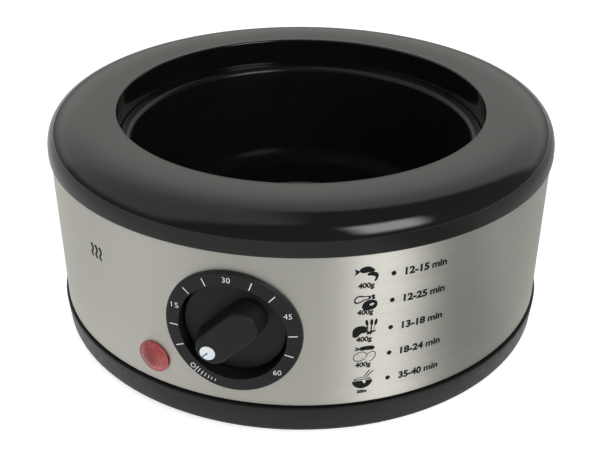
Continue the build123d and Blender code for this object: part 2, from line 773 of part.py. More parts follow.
with BuildPart() as heater_nuts:
    with BuildSketch(Plane.XY.offset(tank_under - 3.2)):
        with Locations(*studs):
            RegularPolygon(3.5, 6, major_radius=False)
            Circle(STUD_R + 0.03, mode=Mode.SUBTRACT)
    extrude(amount=3.2)
keep("heater_nuts", heater_nuts)

element_z = plate_low - ELEMENT_R - 0.02
element_sweep = 360.0 - ELEMENT_GAP_DEG
element_start = 90.0 + ELEMENT_GAP_DEG / 2
leg_low = 20.0
leg_spots = [
    (ELEMENT_LOOP_R * cos(radians(a)), ELEMENT_LOOP_R * sin(radians(a)))
    for a in (element_start, element_start + element_sweep)
]

with BuildPart() as heater_element:
    with BuildLine():
        loop = CenterArc((0, 0, element_z), ELEMENT_LOOP_R, element_start, element_sweep)
    with BuildSketch(Plane(origin=loop @ 0, z_dir=loop % 0)):
        Circle(ELEMENT_R)
    sweep()
    # The two cold ends turn down through rounded elbows to their terminal pins.
    with Locations(*[(x, y, element_z) for x, y in leg_spots]):
        Sphere(ELEMENT_R)
    with BuildSketch(Plane.XY.offset(leg_low)):
        with Locations(*leg_spots):
            Circle(ELEMENT_R)
    extrude(amount=element_z - leg_low)
    with BuildSketch(Plane.XY.offset(leg_low - 6.0)):
        with Locations(*leg_spots):
            Circle(1.2)
    extrude(amount=6.0)
keep("heater_element", heater_element)

with BuildPart() as thermostat:
    with BuildSketch(Plane.XY.offset(plate_low - 5.0)):
        Circle(9.0)
    extrude(amount=4.98)
    with BuildSketch(Plane.XY.offset(plate_low - 9.0)):
        Circle(7.5)
    extrude(amount=4.0)
    with BuildSketch(Plane.XY.offset(plate_low - 8.0)):
        with Locations((10.5, 0), (-10.5, 0)):
            Rectangle(9.0, 6.3)
    extrude(amount=0.8)
keep("thermostat", thermostat)

with BuildPart() as thermal_fuse:
    # A cartridge fuse held against the underside of the plate.
    with BuildSketch(Plane(origin=(-7.0, -14.5, plate_low - 2.1), z_dir=(1, 0, 0))):
        Circle(2.0)
    extrude(amount=14.0)
    with BuildSketch(Plane(origin=(-10.0, -14.5, plate_low - 2.1), z_dir=(1, 0, 0))):
        Circle(0.5)
    extrude(amount=20.0)
keep("thermal_fuse", thermal_fuse)

# ---- terminal block and cord gland ---------------------------------------------------
block_low = pan_floor + 6.0
block_y = 82.0

with BuildPart() as terminal_block:
    with BuildSketch(Plane.XY.offset(block_low)):
        with Locations((0, block_y)):
            Rectangle(36.0, 12.0)
    extrude(amount=9.0)
    chamfer(terminal_block.edges().filter_by(Axis.Z), length=1.0)
    with BuildSketch(Plane.XY.offset(block_low)):
        with Locations((-14.0, block_y), (14.0, block_y)):
            Circle(1.7)
    extrude(amount=9.0, mode=Mode.SUBTRACT)
    with BuildSketch(Plane(origin=(0, block_y - 6.0, block_low + 4.5), x_dir=(1, 0, 0), z_dir=(0, 1, 0))):
        with Locations((-6.0, 0), (0, 0), (6.0, 0)):
            Circle(1.9)
    extrude(amount=12.0, mode=Mode.SUBTRACT)
keep("terminal_block", terminal_block)

with BuildPart() as block_screws:
    with BuildSketch(Plane.XY.offset(block_low - 5.0)):
        with Locations((-14.0, block_y), (14.0, block_y)):
            Circle(1.25)
    extrude(amount=14.0)
    with BuildSketch(Plane.XY.offset(block_low + 9.0)):
        with Locations((-14.0, block_y), (14.0, block_y)):
            Circle(2.7)
    extrude(amount=1.7)
    with BuildSketch(Plane.XY.offset(block_low + 9.9)):
        with Locations((-14.0, block_y), (14.0, block_y)):
            Rectangle(3.4, 0.7)
            Rectangle(0.7, 3.4)
    extrude(amount=1.0, mode=Mode.SUBTRACT)
keep("block_screws", block_screws)

with BuildPart() as cord_gland:
    # A rubber bush that grips the edge of the band's hole and guides the mains cord out.
    with BuildSketch(side_plane(180.0, GLAND_Z)):
        with BuildLine():
            Polyline(
                (GLAND_BORE_R + 1.0, -108.0),
                (GLAND_BODY_R, -108.0),
                (GLAND_BODY_R + 2.2, -116.0),
                (GLAND_BODY_R + 2.2, -118.4),
                (GLAND_BODY_R, -118.4),
                (GLAND_BODY_R, -BAND_R - 0.3),
                (GLAND_BODY_R + 3.0, -BAND_R - 0.3),
                (GLAND_BODY_R + 3.0, -BAND_R - 1.6),
                (GLAND_BODY_R - 0.6, -BAND_R - 2.6),
                (GLAND_BODY_R - 1.6, -GLAND_REACH),
                (GLAND_BORE_R, -GLAND_REACH),
                (GLAND_BORE_R, -GLAND_REACH + GLAND_GRIP),
                (GLAND_BORE_R + 1.0, -GLAND_REACH + GLAND_GRIP + 0.5),
                close=True,
            )
        make_face()
    revolve(axis=outward_axis(180.0, GLAND_Z))
keep("cord_gland", cord_gland)

# ---- internal wires ------------------------------------------------------------------
wire_r = 1.1
blade_x = CASE_HALF_W + 8.0
blade_mid = BLADE_BACK + BLADE_T / 2


def dial_point(x, y, distance):
    """A point given in the dial's own directions, as a position in the housing."""
    v = dial_plane(distance).from_local_coords((x, y, 0))
    return (v.X, v.Y, v.Z)


WIRES = {
    # From the live terminal round the pan to the timer's upper blade.
    "wire_live": [
        (6.0, 75.8, block_low + 4.5),
        (12.0, 62.0, 12.0),
        (62.0, 30.0, 11.0),
        (66.0, -40.0, 14.0),
        dial_point(blade_x + 16.0, -2.0, blade_mid),
        dial_point(blade_x + 1.3, BLADE_HEIGHTS[0], blade_mid),
    ],
    # From the timer's lower blade to the thermostat under the plate.
    "wire_switched": [
        dial_point(blade_x + 1.3, BLADE_HEIGHTS[1], blade_mid),
        dial_point(blade_x + 10.0, -26.0, 90.0),
        (22.0, -52.0, 16.0),
        (22.0, -22.0, 20.0),
        (16.6, 0.0, plate_low - 7.6),
    ],
    # From the neutral terminal to one leg of the heating element.
    "wire_neutral": [
        (-6.0, 75.8, block_low + 4.5),
        (-8.0, 62.0, 17.0),
        (-12.0, 44.0, 11.5),
        (leg_spots[0][0], leg_spots[0][1], 12.7),
    ],
    # From the indicator lamp to the terminal block.
    "wire_lamp": [
        (facing(LAMP_AZ, 102.7, LAMP_Z).origin.X, facing(LAMP_AZ, 102.7, LAMP_Z).origin.Y, LAMP_Z),
        (-56.0, -72.0, 16.0),
        (-66.0, -20.0, 11.0),
        (-58.0, 40.0, 11.0),
        (-30.0, 62.0, 9.5),
        (-12.0, 68.0, 9.5),
        (0.0, 75.8, block_low + 4.5),
    ],
}

for wire_name, route in WIRES.items():
    with BuildPart() as wire:
        with BuildLine():
            run = Spline(*route)
        with BuildSketch(Plane(origin=run @ 0, z_dir=run % 0)):
            Circle(wire_r)
        sweep()
    keep(wire_name, wire)

os.makedirs("parts", exist_ok=True)
for name, part in PARTS.items():
    export_step(part, f"parts/{name}.step")
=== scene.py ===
import json
from math import acos, cos, pi, radians, sin, tan

import bmesh
import bpy
from mathutils import Matrix, Vector


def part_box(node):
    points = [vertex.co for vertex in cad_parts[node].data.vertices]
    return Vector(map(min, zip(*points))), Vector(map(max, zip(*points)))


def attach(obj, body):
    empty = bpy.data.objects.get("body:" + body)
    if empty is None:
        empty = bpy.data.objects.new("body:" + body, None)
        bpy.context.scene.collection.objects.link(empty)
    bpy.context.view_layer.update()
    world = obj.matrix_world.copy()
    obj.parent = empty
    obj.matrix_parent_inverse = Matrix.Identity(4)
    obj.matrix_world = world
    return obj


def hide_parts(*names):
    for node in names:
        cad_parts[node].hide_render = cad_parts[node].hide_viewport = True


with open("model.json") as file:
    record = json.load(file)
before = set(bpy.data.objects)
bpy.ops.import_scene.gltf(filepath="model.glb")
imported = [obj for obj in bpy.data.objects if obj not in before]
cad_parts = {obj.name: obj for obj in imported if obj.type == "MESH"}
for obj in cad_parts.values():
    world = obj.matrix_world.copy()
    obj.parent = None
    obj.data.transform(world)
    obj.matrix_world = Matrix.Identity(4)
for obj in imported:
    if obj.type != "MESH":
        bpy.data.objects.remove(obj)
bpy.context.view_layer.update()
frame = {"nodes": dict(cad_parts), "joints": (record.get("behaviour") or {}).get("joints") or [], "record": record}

# Every length is in metres. The front faces -Y, and an azimuth is counted from the front
# (-Y) towards +X, as in the model's own frame.

# ---- places that come from the frame -------------------------------------------------
nodes = frame["nodes"]
HOUSING, DIAL = "housing", "dial"
MM = 0.001
band_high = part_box("steel_band")[1]
rim_low, rim_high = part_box("rim_ring")
tank_low, tank_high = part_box("water_tank")
dot_low, dot_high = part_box("knob_pointer")
lens_low, lens_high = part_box("lamp_lens")
BAND_R = band_high.x
LEDGE_Z = tank_high.z
BEZEL_R = max(v.co.xy.length for v in nodes["dial_bezel"].data.vertices)
hinge = next(j for j in frame["joints"] if j["name"] == "timer_turn")
DIAL_AT = Vector(hinge["pos_m"])
DIAL_OUT = -Vector(hinge["axis"]).normalized()
DIAL_RIGHT = Vector((-DIAL_OUT.y, DIAL_OUT.x, 0))
UP = Vector((0, 0, 1))

# ---- node helpers --------------------------------------------------------------------


class Nodes:
    """A short way to write a material's node tree."""

    def __init__(self, name):
        self.material = bpy.data.materials.new(name)
        self.material.use_nodes = True
        self.tree = self.material.node_tree
        self.tree.nodes.clear()
        self.shader = self.tree.nodes.new("ShaderNodeBsdfPrincipled")
        out = self.tree.nodes.new("ShaderNodeOutputMaterial")
        self.link(self.shader.outputs["BSDF"], out.inputs["Surface"])

    def link(self, source, target):
        self.tree.links.new(source, target)

    def set(self, **values):
        """Sets the shader's sockets; an underscore in a name stands for a space."""
        for key, value in values.items():
            self.shader.inputs[key.replace("_", " ")].default_value = value

    def node(self, kind, inputs=None, **settings):
        made = self.tree.nodes.new("ShaderNode" + kind)
        for key, value in settings.items():
            setattr(made, key, value)
        for key, value in (inputs or {}).items():
            if isinstance(value, bpy.types.NodeSocket):
                self.link(value, made.inputs[key])
            else:
                made.inputs[key].default_value = value
        return made

    def position(self, scale=(1, 1, 1)):
        """The point in the part's own frame, stretched by scale."""
        coord = self.node("TexCoord")
        mapping = self.node("Mapping", {"Vector": coord.outputs["Object"], "Scale": scale})
        return mapping.outputs["Vector"]

    def noise(self, vector, scale, detail=3.0, roughness=0.5):
        made = self.node(
            "TexNoise",
            {"Vector": vector, "Scale": scale, "Detail": detail, "Roughness": roughness},
        )
        return made.outputs["Fac"]

    def spread(self, value, low, high, from_low=0.3, from_high=0.7):
        """Maps a value from one range onto another. Noise mostly lies between 0.3 and 0.7."""
        made = self.node(
            "MapRange",
            {
                "Value": value,
                "From Min": from_low,
                "From Max": from_high,
                "To Min": low,
                "To Max": high,
            },
        )
        return made.outputs["Result"]

    def math(self, operation, *values):
        made = self.node("Math", dict(enumerate(values)), operation=operation)
        return made.outputs[0]

    def vector_math(self, operation, *values):
        return self.node("VectorMath", dict(enumerate(values)), operation=operation)

    def paint(self, socket, source):
        """Links a value to one of the shader's sockets."""
        self.link(source, self.shader.inputs[socket])

    def mix(self, factor, first, second):
        """The first colour where the factor is 0, and the second where it is 1."""
        made = self.node("Mix", data_type="RGBA")
        self.link(factor, made.inputs["Factor"])
        for socket, colour in ((made.inputs[6], first), (made.inputs[7], second)):
            if isinstance(colour, bpy.types.NodeSocket):
                self.link(colour, socket)
            else:
                socket.default_value = (*colour, 1)
        return made.outputs[2]

    def bump(self, height, distance, strength=1.0):
        made = self.node("Bump", {"Height": height, "Distance": distance, "Strength": strength})
        return made.outputs["Normal"]


# ---- materials -----------------------------------------------------------------------


# A noise scale is roughly the number of features in a metre, and a bump depth is in metres.
RIPPLE_DEPTH = 0.00002
BRUSH_DEPTH = 0.000009
METAL_DEPTH = 0.00001
LENS_DEPTH = 0.00006
LENS_RING = 1.3 * MM
LENS_CORE, LENS_EDGE = 1.6 * MM, 5.6 * MM
# Painted shade in the tank: its shine fades out between these two depths below the ledge.
TANK_SHADE_FROM, TANK_SHADE_TO = 2 * MM, 9 * MM  # depths below the ledge


def gloss_black(name, rough, specular):
    """Polished black moulding, with faint flow ripples and haze from handling."""
    n = Nodes(name)
    where = n.position()
    n.set(IOR=1.47, Specular_IOR_Level=specular)
    cloud = n.noise(where, 60.0, 4.0)
    n.paint("Base Color", n.mix(cloud, (0.005, 0.005, 0.0045), (0.008, 0.008, 0.007)))
    n.paint("Roughness", n.spread(n.noise(where, 900.0, 2.0), *rough))
    n.paint("Normal", n.bump(n.noise(where, 140.0, 1.0), RIPPLE_DEPTH))
    return n


def tank_black():
    """The rim's black, but grained, with painted shade below the ledge: its shine fades out deeper in the bowl."""
    n = gloss_black("tank_black", (0.2, 0.28), 0.28)
    height = n.node("SeparateXYZ", {"Vector": n.position()}).outputs["Z"]
    low, high = LEDGE_Z - TANK_SHADE_TO, LEDGE_Z - TANK_SHADE_FROM
    # Painted shade: the specular level drops with depth below the ledge, standing in for the shade deep in the
    # bowl.
    n.paint("Specular IOR Level", n.spread(height, 0.035, 0.3, low, high))
    return n.material


def brushed_steel():
    """Stainless sheet brushed round the band, so that its highlights stand upright."""
    n = Nodes("brushed_steel")
    coord = n.node("TexCoord")
    parts = n.node("SeparateXYZ", {"Vector": coord.outputs["Object"]})
    angle = n.math("ARCTAN2", parts.outputs["X"], parts.outputs["Y"])
    around = n.math("MULTIPLY", angle, BAND_R)

    def grain(along, across, detail):
        """Noise drawn out round the band, and fine up and down it."""
        x = n.math("MULTIPLY", around, along)
        z = n.math("MULTIPLY", parts.outputs["Z"], across)
        vector = n.node("CombineXYZ", {"X": x, "Z": z})
        return n.noise(vector.outputs[0], 1.0, detail)

    fine = grain(60.0, 5200.0, 3.0)
    broad = grain(14.0, 900.0, 4.0)
    n.set(Metallic=1.0, Anisotropic=0.9, Anisotropic_Rotation=0.25)
    light, dark = (0.78, 0.767, 0.70), (0.70, 0.687, 0.628)
    both = n.math("MULTIPLY", n.math("ADD", fine, broad), 0.5)
    n.paint("Base Color", n.mix(n.spread(both, 0, 1, 0.35, 0.65), dark, light))
    n.paint("Roughness", n.spread(broad, 0.4, 0.48))
    tangent = n.node("Tangent", direction_type="RADIAL", axis="Z")
    n.paint("Tangent", tangent.outputs[0])
    n.paint("Normal", n.bump(fine, BRUSH_DEPTH, 0.8))
    return n.material


def moulded(name, dark, light, rough, grain_scale, grain_depth, specular=0.4):
    """Satin moulded plastic or rubber: a fine spark texture and slow changes of tone."""
    n = Nodes(name)
    n.set(Specular_IOR_Level=specular)
    where = n.position()
    n.paint("Base Color", n.mix(n.noise(where, 45.0, 4.0), dark, light))
    n.paint("Roughness", n.spread(n.noise(where, 300.0, 3.0), *rough))
    n.paint("Normal", n.bump(n.noise(where, grain_scale, 2.0), grain_depth))
    return n.material


def metal(name, dark, light, rough, grain=400.0):
    """Bare or plated metal with one even grain."""
    n = Nodes(name)
    n.set(Metallic=1.0)
    cloud = n.noise(n.position((grain, grain, grain)), 1.0, 4.0)
    n.paint("Base Color", n.mix(cloud, dark, light))
    n.paint("Roughness", n.spread(cloud, *rough))
    n.paint("Normal", n.bump(cloud, METAL_DEPTH))
    return n.material


def red_lens():
    """Clear red plastic with the fine rings of a moulded lens inside."""
    n = Nodes("red_lens")
    centre = (lens_low + lens_high) / 2
    axis = Vector((centre.x, centre.y, 0)).normalized()
    where = n.node("TexCoord").outputs["Object"]
    offset = n.vector_math("SUBTRACT", where, tuple(centre)).outputs[0]
    across = n.vector_math("CROSS_PRODUCT", offset, tuple(axis)).outputs[0]
    radius = n.vector_math("LENGTH", across).outputs["Value"]
    rings = n.math("SINE", n.math("MULTIPLY", radius, 2 * pi / LENS_RING))
    cloud = n.noise(where, 420.0, 3.0)
    core = n.spread(radius, 0.0, 1.0, LENS_CORE, LENS_EDGE)
    red = n.mix(cloud, (0.50, 0.075, 0.085), (0.62, 0.13, 0.13))
    deep = n.mix(cloud, (0.16, 0.012, 0.018), (0.30, 0.03, 0.04))
    n.paint("Base Color", n.mix(n.spread(rings, 0.0, 0.45, -1.0, 1.0), n.mix(core, deep, red), red))
    n.set(Roughness=0.14, Transmission_Weight=0.35, IOR=1.55)
    n.paint("Normal", n.bump(rings, LENS_DEPTH, 0.6))
    return n.material


def clear_glass():
    n = Nodes("lamp_glass")
    n.set(Transmission_Weight=1.0, IOR=1.5)
    n.paint("Roughness", n.spread(n.noise(n.position(), 500.0), 0.02, 0.08))
    n.paint("Base Color", n.mix(n.noise(n.position(), 150.0), (0.95, 0.9, 0.85), (1.0, 0.97, 0.94)))
    return n.material


# name: darkest colour, lightest colour, roughness, grain scale, grain depth, specular level
MOULDED = {
    "matte_black": ((0.009, 0.009, 0.0087), (0.013, 0.013, 0.0125), (0.38, 0.5), 2600.0, 0.00003, 0.22),
    "dial_black": ((0.008, 0.008, 0.0085), (0.012, 0.012, 0.0125), (0.42, 0.5), 3000.0, 0.00002, 0.3),
    "white_inlay": ((0.7, 0.76, 0.8), (0.78, 0.84, 0.88), (0.3, 0.4), 2500.0, 0.00001, 0.4),
    "scale_white": ((0.72, 0.74, 0.74), (0.8, 0.82, 0.82), (0.35, 0.45), 2500.0, 0.00001, 0.4),
    "print_black": ((0.006, 0.006, 0.006), (0.010, 0.010, 0.010), (0.5, 0.6), 2500.0, 0.00001, 0.15),
    "foot_rubber": ((0.012, 0.012, 0.012), (0.022, 0.022, 0.022), (0.6, 0.75), 1800.0, 0.00005, 0.4),
    "seal_rubber": ((0.3, 0.06, 0.03), (0.4, 0.09, 0.05), (0.5, 0.6), 1500.0, 0.00003, 0.4),
    "thermostat_body": ((0.06, 0.03, 0.02), (0.1, 0.05, 0.03), (0.35, 0.45), 1500.0, 0.00002, 0.4),
    "terminal_plastic": ((0.68, 0.65, 0.56), (0.78, 0.76, 0.68), (0.4, 0.5), 1500.0, 0.00002, 0.4),
    "wire_brown": ((0.1, 0.04, 0.02), (0.14, 0.06, 0.03), (0.4, 0.5), 1500.0, 0.00002, 0.4),
    "wire_blue": ((0.02, 0.07, 0.28), (0.04, 0.1, 0.36), (0.4, 0.5), 1500.0, 0.00002, 0.4),
    "wire_black": ((0.015, 0.015, 0.015), (0.025, 0.025, 0.025), (0.4, 0.5), 1500.0, 0.00002, 0.4),
}
# name: darkest colour, lightest colour, roughness, grain scale
METALS = {
    "plated_steel": ((0.5, 0.5, 0.5), (0.68, 0.68, 0.67), (0.22, 0.36), 400.0),
    "spring_steel": ((0.2, 0.22, 0.27), (0.34, 0.36, 0.42), (0.25, 0.35), 400.0),
    "gear_brass": ((0.6, 0.42, 0.16), (0.78, 0.58, 0.27), (0.22, 0.34), 400.0),
    "cast_aluminium": ((0.5, 0.5, 0.5), (0.64, 0.64, 0.63), (0.3, 0.45), 900.0),
    "element_steel": ((0.3, 0.27, 0.22), (0.5, 0.46, 0.4), (0.25, 0.4), 400.0),
}
PAINT = {
    "gloss_black": gloss_black("gloss_black", (0.045, 0.09), 0.5).material,
    "tank_black": tank_black(),
    "brushed_steel": brushed_steel(),
    "red_lens": red_lens(),
    "lamp_glass": clear_glass(),
    **{name: moulded(name, *look) for name, look in MOULDED.items()},
    **{name: metal(name, *look) for name, look in METALS.items()},
}

for part in frame["record"]["subparts"]:
    mesh = nodes[part["node"]].data
    mesh.materials.clear()
    mesh.materials.append(PAINT[part["material_slot"]])

# ---- mesh helpers --------------------------------------------------------------------


def add_piece(name, mesh, paint, body):
    piece = bpy.data.objects.new(name, mesh)
    bpy.context.scene.collection.objects.link(piece)
    mesh.materials.append(paint)
    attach(piece, body)
    return piece


def rounded(corners, steps=8):
    """An outline through (r, z, radius) corners, each rounded by an arc of its radius."""
    outline = []
    for i, (r, z, radius) in enumerate(corners):
        here = Vector((r, z))
        if not radius:
            outline.append(here)
            continue
        back = (Vector(corners[i - 1][:2]) - here).normalized()
        on = (Vector(corners[(i + 1) % len(corners)][:2]) - here).normalized()
        half = acos(max(-1, min(1, back.dot(on)))) / 2
        centre = here + (back + on).normalized() * radius / sin(half)
        first = here + back * radius / tan(half) - centre
        last = here + on * radius / tan(half) - centre
        sweep = first.angle_signed(last)
        for step in range(steps + 1):
            turned = Matrix.Rotation(-sweep * step / steps, 2) @ first
            outline.append(centre + turned)
    return outline


def bezier(a, b, c, d, steps=20):
    points = []
    for i in range(steps + 1):
        t = i / steps
        u = 1 - t
        points.append(a * u**3 + b * 3 * u * u * t + c * 3 * u * t * t + d * t**3)
    return points


def lathe(name, outline, paint, segments=288):
    """A closed ring turned round the Z axis, with hard creases kept where walls meet."""
    bm = bmesh.new()
    rings = []
    for i in range(segments):
        a = 2 * pi * i / segments
        rings.append([bm.verts.new((p.x * cos(a), p.x * sin(a), p.y)) for p in outline])
    for i, ring in enumerate(rings):
        after = rings[(i + 1) % segments]
        for j in range(len(outline)):
            k = (j + 1) % len(outline)
            bm.faces.new((ring[j], after[j], after[k], ring[k]))
    bmesh.ops.recalc_face_normals(bm, faces=bm.faces)
    mesh = bpy.data.meshes.new(name)
    bm.to_mesh(mesh)
    bm.free()
    mesh.shade_smooth()
    mesh.set_sharp_from_angle(angle=radians(28))
    return add_piece(name, mesh, paint, HOUSING)


# ---- rim and tank --------------------------------------------------------------------
RIM_R = rim_high.x
RIM_TOP = rim_high.z
RIM_LOW = rim_low.z
BULGE_Z = band_high.z + 2.0 * MM
FLAT_R = RIM_R - 16.5 * MM
FULLNESS = 0.67
MOUTH_R = RIM_R - 33.0 * MM
MOUTH_Z = RIM_TOP - 0.8 * MM
MOUTH_EDGE = 0.9 * MM
DISH_END_R = MOUTH_R + 1.5 * MM  # where the dished top meets the mouth's round edge
RIM_WALL = 2.4 * MM
LIP_R = BAND_R - 1.1 * MM
LIP_T = 2.3 * MM

TANK_WALL_R = 82.2 * MM
TANK_FLOOR_R = 75.5 * MM
TANK_CORNER = 12.0 * MM
TANK_WALL = 2.2 * MM
SKIN_T = 2.5 * MM  # the bowl's floor and its ledge
LEDGE_EDGE = 3.0 * MM
HEATER_HOLE_R = 33.0 * MM
GROOVE_R = MOUTH_R - 0.4 * MM
GROOVE_W, GROOVE_DEPTH, GROOVE_EDGE = 1.4 * MM, 0.6 * MM, 0.1 * MM


def shoulder(inset):
    """The rim's full outer curve, from its widest ring up to the flat top."""
    out_r = RIM_R - inset
    high = RIM_TOP - inset
    return bezier(
        Vector((out_r, BULGE_Z)),
        Vector((out_r, BULGE_Z + FULLNESS * (high - BULGE_Z))),
        Vector((FLAT_R + FULLNESS * (out_r - FLAT_R), high)),
        Vector((FLAT_R, high)),
    )


def rim_outline():
    skirt = rounded(
        [
            (LIP_R - LIP_T, RIM_LOW, 0),
            (LIP_R, RIM_LOW, 0.4 * MM),
            (LIP_R, band_high.z, 0),
            (BAND_R - 0.2 * MM, band_high.z, 0),
            (RIM_R - 0.1 * MM, band_high.z, 0.7 * MM),
            (RIM_R, BULGE_Z - 0.8 * MM, 0),
        ]
    )
    dish = bezier(
        Vector((FLAT_R, RIM_TOP)),
        Vector((FLAT_R - 5 * MM, RIM_TOP)),
        Vector((DISH_END_R + 4.5 * MM, MOUTH_Z + 0.35 * MM)),
        Vector((DISH_END_R, MOUTH_Z)),
        12,
    )
    inner = rounded(
        [
            (DISH_END_R - 0.1 * MM, MOUTH_Z, 0),
            (MOUTH_R, MOUTH_Z, MOUTH_EDGE),
            (MOUTH_R, LEDGE_Z, 0),
            (MOUTH_R + RIM_WALL, LEDGE_Z, 0),
            (MOUTH_R + RIM_WALL, MOUTH_Z - RIM_WALL, 0),
        ]
    )
    under = list(reversed(shoulder(RIM_WALL)))
    return skirt + shoulder(0) + dish[1:] + inner + under + [Vector((LIP_R - LIP_T, band_high.z))]


def tank_outline():
    floor_z = tank_low.z + SKIN_T
    flange_low = LEDGE_Z - SKIN_T
    groove_out = GROOVE_R + GROOVE_W
    groove_low = LEDGE_Z - GROOVE_DEPTH
    return rounded(
        [
            (HEATER_HOLE_R, floor_z, 0),
            (TANK_FLOOR_R, floor_z, TANK_CORNER),
            (TANK_WALL_R, LEDGE_Z, LEDGE_EDGE),
            (GROOVE_R, LEDGE_Z, GROOVE_EDGE),
            (GROOVE_R, groove_low, 0),
            (groove_out, groove_low, 0),
            (groove_out, LEDGE_Z, GROOVE_EDGE),
            (tank_high.x, LEDGE_Z, 0),
            (tank_high.x, flange_low, 0),
            (TANK_WALL_R + TANK_WALL, flange_low, 0),
            (TANK_FLOOR_R + TANK_WALL, tank_low.z, TANK_CORNER),
            (HEATER_HOLE_R, tank_low.z, 0),
        ],
        12,
    )


rim = lathe("rim_moulding", rim_outline(), PAINT["gloss_black"])
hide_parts("rim_ring")
tank = lathe("tank_bowl", tank_outline(), PAINT["tank_black"])
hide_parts("water_tank")

# ---- print ---------------------------------------------------------------------------
# Printed shapes are drawn flat, in millimetres, then wrapped on the surface as a film of ink.
INK_T = 0.03
INK_LIFT = 0.03
INK_WELD = 0.004
CAP_SHARE = 0.70  # a capital's height as a share of the typeface's size


def curve_object(kind):
    curve = bpy.data.curves.new("ink", kind)
    curve.extrude = INK_T / 2
    made = bpy.data.objects.new("ink", curve)
    bpy.context.scene.collection.objects.link(made)
    return curve, made


def take_mesh(made):
    """The flat mesh of a curve or text object, which is then thrown away."""
    bpy.context.view_layer.update()
    depsgraph = bpy.context.evaluated_depsgraph_get()
    mesh = bpy.data.meshes.new_from_object(made.evaluated_get(depsgraph))
    curve = made.data
    bpy.data.objects.remove(made)
    bpy.data.curves.remove(curve)
    return mesh


def drawn(outlines):
    """A mesh of filled outlines, where one inside another is a hole."""
    curve, made = curve_object("CURVE")
    curve.dimensions = "2D"
    curve.fill_mode = "BOTH"
    curve.resolution_u = 5
    for smooth, points in outlines:
        spline = curve.splines.new("BEZIER" if smooth else "POLY")
        spline.use_cyclic_u = True
        if smooth:
            spline.bezier_points.add(len(points) - 1)
            for knot, (x, y) in zip(spline.bezier_points, points):
                knot.co = (x, y, 0)
                knot.handle_left_type = knot.handle_right_type = "AUTO"
        else:
            spline.points.add(len(points) - 1)
            for knot, (x, y) in zip(spline.points, points):
                knot.co = (x, y, 0, 1)
    return take_mesh(made)


def lettered(body, cap, width, slant=0.0, weight=0.0):
    """A line of print of one cap height, centred and drawn to one width."""
    curve, made = curve_object("FONT")
    curve.body = body
    curve.size = cap / CAP_SHARE
    curve.shear = slant
    curve.offset = weight
    curve.resolution_u = 4
    mesh = take_mesh(made)
    xs = [v.co.x for v in mesh.vertices]
    middle = (min(xs) + max(xs)) / 2
    stretch = width / (max(xs) - min(xs))
    for v in mesh.vertices:
        v.co.x = (v.co.x - middle) * stretch
        v.co.y -= cap / 2
    return mesh


def stroke(a, b, width):
    """A straight line with square ends, as an outline."""
    along = (Vector(b) - Vector(a)).normalized() * width / 2
    side = Vector((-along.y, along.x))
    corners = (Vector(a) + side, Vector(a) - side, Vector(b) - side, Vector(b) + side)
    return (False, [tuple(c) for c in corners])


def oval(x, y, rx, ry, turn=0.0):
    knots = 8
    points = []
    for i in range(knots):
        a = 2 * pi * i / knots
        u, v = rx * cos(a), ry * sin(a)
        points.append((x + u * cos(turn) - v * sin(turn), y + u * sin(turn) + v * cos(turn)))
    return (True, points)


def on_dial(x, y, lift):
    """A point of the dial's curved ring, from the dial's centre to the right and up."""
    across = x * MM
    out = ((BEZEL_R + lift * MM) ** 2 - across**2) ** 0.5
    return DIAL_OUT * out + DIAL_RIGHT * across + UP * (DIAL_AT.z + y * MM)


def on_band(azimuth, height):
    """A function that places a flat point round a spot of the steel band."""

    def place(x, y, lift):
        r = BAND_R + lift * MM
        a = radians(azimuth) + x * MM / BAND_R
        return Vector((r * sin(a), -r * cos(a), height * MM + y * MM))

    return place


def on_dot(x, y, lift):
    """A point of the knob's flat front, where the white dot is let in."""
    front = max(v.co.dot(DIAL_OUT) for v in nodes["knob_pointer"].data.vertices)
    level = DIAL_OUT * (front + lift * MM)
    return level + DIAL_RIGHT * (x * MM) + UP * (DIAL_AT.z + y * MM)


def print_on(name, prints, paint, body):
    """Wraps flat meshes on their surfaces and joins them into one piece of print."""
    bm = bmesh.new()
    for mesh, place in prints:
        flat = bmesh.new()
        flat.from_mesh(mesh)
        bmesh.ops.remove_doubles(flat, verts=flat.verts, dist=INK_WELD)
        for v in flat.verts:
            v.co = place(v.co.x, v.co.y, v.co.z + INK_T / 2 + INK_LIFT)
        bmesh.ops.recalc_face_normals(flat, faces=flat.faces)
        flat.to_mesh(mesh)
        flat.free()
        bm.from_mesh(mesh)
        bpy.data.meshes.remove(mesh)
    made = bpy.data.meshes.new(name)
    bm.to_mesh(made)
    bm.free()
    return add_piece(name, made, paint, body)


def polar(angle, radius):
    """A spot on the dial: the angle is clockwise from the top, in degrees."""
    a = radians(angle + SCALE_TURN)
    return (radius * sin(a), radius * cos(a))


def moved(place, x, y):
    """The same surface, with its middle moved by x and y."""
    return lambda u, v, lift: place(u + x, v + y, lift)


# ---- the dial's scale and sight line, in millimetres and degrees ---------------------
SCALE_TURN = -2.4  # the printed ring sits this much off the vertical
TICKS = (-112.5, -90.0, -45.0, -22.5, 22.5, 45.0, 90.0, 112.5)
TICK_FROM, TICK_TO, TICK_W = 23.4, 27.1, 0.38
NUMBERS = {"15": -67.5, "30": 0.0, "45": 67.5, "60": 135.0}
NUMBER_R, NUMBER_CAP, NUMBER_W = 25.6, 2.5, 3.3
OFF_AT, OFF_R = -136.5, 26.3
OFF_OUT, OFF_IN = 1.2, 0.86
SLASH_AT, SLASH_FROM, SLASH_TO, SLASH_W = OFF_AT - 4.2, 24.6, 28.4, 0.34
FAN = (-143.5, -147.0, -150.5, -154.0, -157.2, -160.8)
FAN_FROM, FAN_TO, FAN_W = 27.6, 25.0, 0.32
FAN_TAPER_OUT, FAN_TAPER_IN = 0.16, 0.1  # each mark of the fan is this much shorter than the last
SIGHT_W, SIGHT_GAP = 0.48, 0.05


